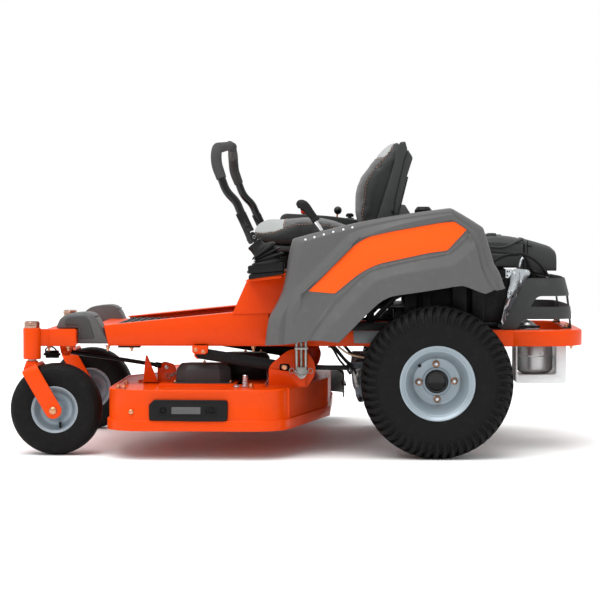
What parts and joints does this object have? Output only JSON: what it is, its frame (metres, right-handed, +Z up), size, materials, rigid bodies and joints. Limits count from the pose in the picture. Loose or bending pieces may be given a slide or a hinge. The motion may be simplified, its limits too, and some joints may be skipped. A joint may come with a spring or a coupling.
{
  "type": "zero turn mower",
  "caption": "Zero turn riding mower: steel frame, free-swivelling front casters, driven rear wheels, steering bars, tilting seat, rear engine and a height-adjustable side-discharge deck.",
  "frame": {"origin": "on the ground under the middle of the bounding box", "axes": "+X to the machine's left, +Y to its rear, +Z up; the front faces -Y and the discharge chute is on the -X side"},
  "size_m": [1.352, 1.7546, 0.97],
  "materials": {
    "painted_orange": "gloss",
    "grey_plastic": "satin",
    "charcoal_plastic": "satin",
    "black_steel": "satin",
    "black_plastic": "satin",
    "rubber": "matte",
    "tyre": "matte",
    "rim_silver": "satin",
    "cast_alloy": "satin",
    "bright_steel": "satin",
    "vinyl": "satin",
    "red_plastic": "gloss",
    "foam": "matte"
  },
  "bodies": {
    "chassis": {"left_frame_rail": "painted_orange", "right_frame_rail": "painted_orange", "front_axle_beam": "painted_orange", "left_footrest": "grey_plastic", "right_footrest": "grey_plastic", "floor_pan": "painted_orange", "seat_box": "painted_orange", "rear_subframe": "black_steel", "rear_bumper": "painted_orange", "left_fender": "grey_plastic", "right_fender": "grey_plastic", "control_console": "charcoal_plastic", "fuel_tank": "black_plastic", "battery": "black_plastic", "engine_block": "cast_alloy", "engine_shroud": "charcoal_plastic", "air_filter_cover": "charcoal_plastic", "muffler": "bright_steel", "heat_shield": "bright_steel", "engine_guard": "charcoal_plastic", "left_transaxle": "cast_alloy", "right_transaxle": "cast_alloy", "left_boot_housing": "black_plastic", "right_boot_housing": "black_plastic"},
    "left_rear_wheel": {"left_rear_tyre": "tyre", "left_rear_rim": "rim_silver"},
    "left_caster": {"left_caster_fork": "painted_orange"},
    "left_caster_wheel": {"left_caster_tyre": "tyre", "left_caster_rim": "rim_silver"},
    "left_control": {"left_control_hub": "black_steel", "left_boot": "rubber"},
    "left_bar": {"left_control_bar": "black_steel", "left_grip": "foam"},
    "left_side_arm": {"left_lift_arm": "black_steel"},
    "right_rear_wheel": {"right_rear_tyre": "tyre", "right_rear_rim": "rim_silver"},
    "right_caster": {"right_caster_fork": "painted_orange"},
    "right_caster_wheel": {"right_caster_tyre": "tyre", "right_caster_rim": "rim_silver"},
    "right_control": {"right_control_hub": "black_steel", "right_boot": "rubber"},
    "right_bar": {"right_control_bar": "black_steel", "right_grip": "foam"},
    "right_side_arm": {"right_lift_arm": "black_steel"},
    "seat_base": {"seat_frame": "black_steel"},
    "seat": {"seat_shell": "charcoal_plastic", "seat_cushion": "vinyl", "seat_back": "vinyl"},
    "lift": {"lift_shaft": "black_steel"},
    "front_link": {"front_link": "black_steel"},
    "deck": {"deck_shell": "painted_orange", "left_pulley_cover": "charcoal_plastic", "right_pulley_cover": "charcoal_plastic"},
    "left_blade": {"left_blade": "bright_steel"},
    "right_blade": {"right_blade": "bright_steel"},
    "deflector": {"chute_deflector": "charcoal_plastic"},
    "throttle": {"throttle_lever": "black_steel"},
    "blade_switch": {"blade_knob": "red_plastic"},
    "key": {"ignition_key": "black_steel"},
    "cap": {"fuel_cap": "black_plastic"}
  },
  "joints": [
    {"name": "left_rear_wheel_spin", "type": "hinge", "parent": "chassis", "child": "left_rear_wheel", "pos_m": [0.551, 0.42035, 0.2286], "axis": [1, 0, 0], "continuous": true},
    {"name": "left_caster_swivel", "type": "hinge", "parent": "chassis", "child": "left_caster", "pos_m": [0.512, -0.81265, 0.34], "axis": [0, 0, 1], "continuous": true},
    {"name": "left_caster_wheel_spin", "type": "hinge", "parent": "left_caster", "child": "left_caster_wheel", "pos_m": [0.512, -0.73765, 0.1397], "axis": [1, 0, 0], "continuous": true},
    {"name": "left_control_rock", "type": "hinge", "parent": "chassis", "child": "left_control", "pos_m": [0.534, -0.10565, 0.566], "axis": [1, 0, 0], "range_deg": [-14, 20], "stiffness_Nm_per_rad": 60, "springref_deg": -2.86, "deforming": ["left_boot"]},
    {"name": "left_bar_swing", "type": "hinge", "parent": "left_control", "child": "left_bar", "pos_m": [0.534, -0.14101, 0.65963], "axis": [0, 0.9489, 0.3156], "range_deg": [0, 35]},
    {"name": "left_side_arm_pivot", "type": "hinge", "parent": "chassis", "child": "left_side_arm", "pos_m": [0.463, -0.29965, 0.306], "axis": [1, 0, 0], "range_deg": [-5.5, 11]},
    {"name": "right_rear_wheel_spin", "type": "hinge", "parent": "chassis", "child": "right_rear_wheel", "pos_m": [-0.299, 0.42035, 0.2286], "axis": [1, 0, 0], "continuous": true},
    {"name": "right_caster_swivel", "type": "hinge", "parent": "chassis", "child": "right_caster", "pos_m": [-0.26, -0.81265, 0.34], "axis": [0, 0, 1], "continuous": true},
    {"name": "right_caster_wheel_spin", "type": "hinge", "parent": "right_caster", "child": "right_caster_wheel", "pos_m": [-0.26, -0.73765, 0.1397], "axis": [1, 0, 0], "continuous": true},
    {"name": "right_control_rock", "type": "hinge", "parent": "chassis", "child": "right_control", "pos_m": [-0.282, -0.10565, 0.566], "axis": [1, 0, 0], "range_deg": [-14, 20], "stiffness_Nm_per_rad": 60, "springref_deg": -2.86, "deforming": ["right_boot"]},
    {"name": "right_bar_swing", "type": "hinge", "parent": "right_control", "child": "right_bar", "pos_m": [-0.282, -0.14101, 0.65963], "axis": [0, -0.9489, -0.3156], "range_deg": [0, 35]},
    {"name": "right_side_arm_pivot", "type": "hinge", "parent": "chassis", "child": "right_side_arm", "pos_m": [-0.211, -0.29965, 0.306], "axis": [1, 0, 0], "range_deg": [-5.5, 11]},
    {"name": "seat_tilt", "type": "hinge", "parent": "chassis", "child": "seat_base", "pos_m": [0.126, -0.11965, 0.596], "axis": [1, 0, 0], "range_deg": [0, 50]},
    {"name": "seat_slide", "type": "slide", "parent": "seat_base", "child": "seat", "axis": [0, 1, 0], "range_m": [-0.06, 0.05]},
    {"name": "height_lever", "type": "hinge", "parent": "chassis", "child": "lift", "pos_m": [0.126, 0.16035, 0.398], "axis": [-1, 0, 0], "range_deg": [-9, 19]},
    {"name": "deck_lift", "type": "slide", "parent": "chassis", "child": "deck", "axis": [0, 0, 1], "range_m": [-0.025, 0.05]},
    {"name": "front_link_pivot", "type": "hinge", "parent": "chassis", "child": "front_link", "pos_m": [0.362, -0.72965, 0.305], "axis": [1, 0, 0], "range_deg": [-5.5, 11]},
    {"name": "left_blade_spin", "type": "hinge", "parent": "deck", "child": "left_blade", "pos_m": [0.388, -0.29665, 0.1], "axis": [0, 0, 1], "continuous": true},
    {"name": "right_blade_spin", "type": "hinge", "parent": "deck", "child": "right_blade", "pos_m": [-0.136, -0.20165, 0.1], "axis": [0, 0, 1], "continuous": true},
    {"name": "deflector_hinge", "type": "hinge", "parent": "deck", "child": "deflector", "pos_m": [-0.427, -0.07765, 0.194], "axis": [0, 1, 0], "range_deg": [0, 75], "stiffness_Nm_per_rad": 1.5, "springref_deg": -22.92},
    {"name": "throttle_turn", "type": "hinge", "parent": "chassis", "child": "throttle", "pos_m": [-0.274, 0.10235, 0.7], "axis": [1, 0, 0], "range_deg": [-20, 20]},
    {"name": "blade_switch_pull", "type": "slide", "parent": "chassis", "child": "blade_switch", "axis": [0, 0, 1], "range_m": [0, 0.015]},
    {"name": "key_turn", "type": "hinge", "parent": "chassis", "child": "key", "pos_m": [-0.224, 0.15035, 0.72], "axis": [0, 0, 1], "range_deg": [-80, 0]},
    {"name": "fuel_cap_lift", "type": "slide", "parent": "chassis", "child": "cap", "axis": [0, 0, 1], "range_m": [0, 0.06]}
  ],
  "couplings": [
    {"joint": "left_side_arm_pivot", "follows": "height_lever", "ratio": 0.566},
    {"joint": "right_side_arm_pivot", "follows": "height_lever", "ratio": 0.566},
    {"joint": "deck_lift", "follows": "height_lever", "m_per_rad": 0.146},
    {"joint": "front_link_pivot", "follows": "height_lever", "ratio": 0.4975},
    {"joint": "right_blade_spin", "follows": "left_blade_spin", "ratio": 1}
  ]
}
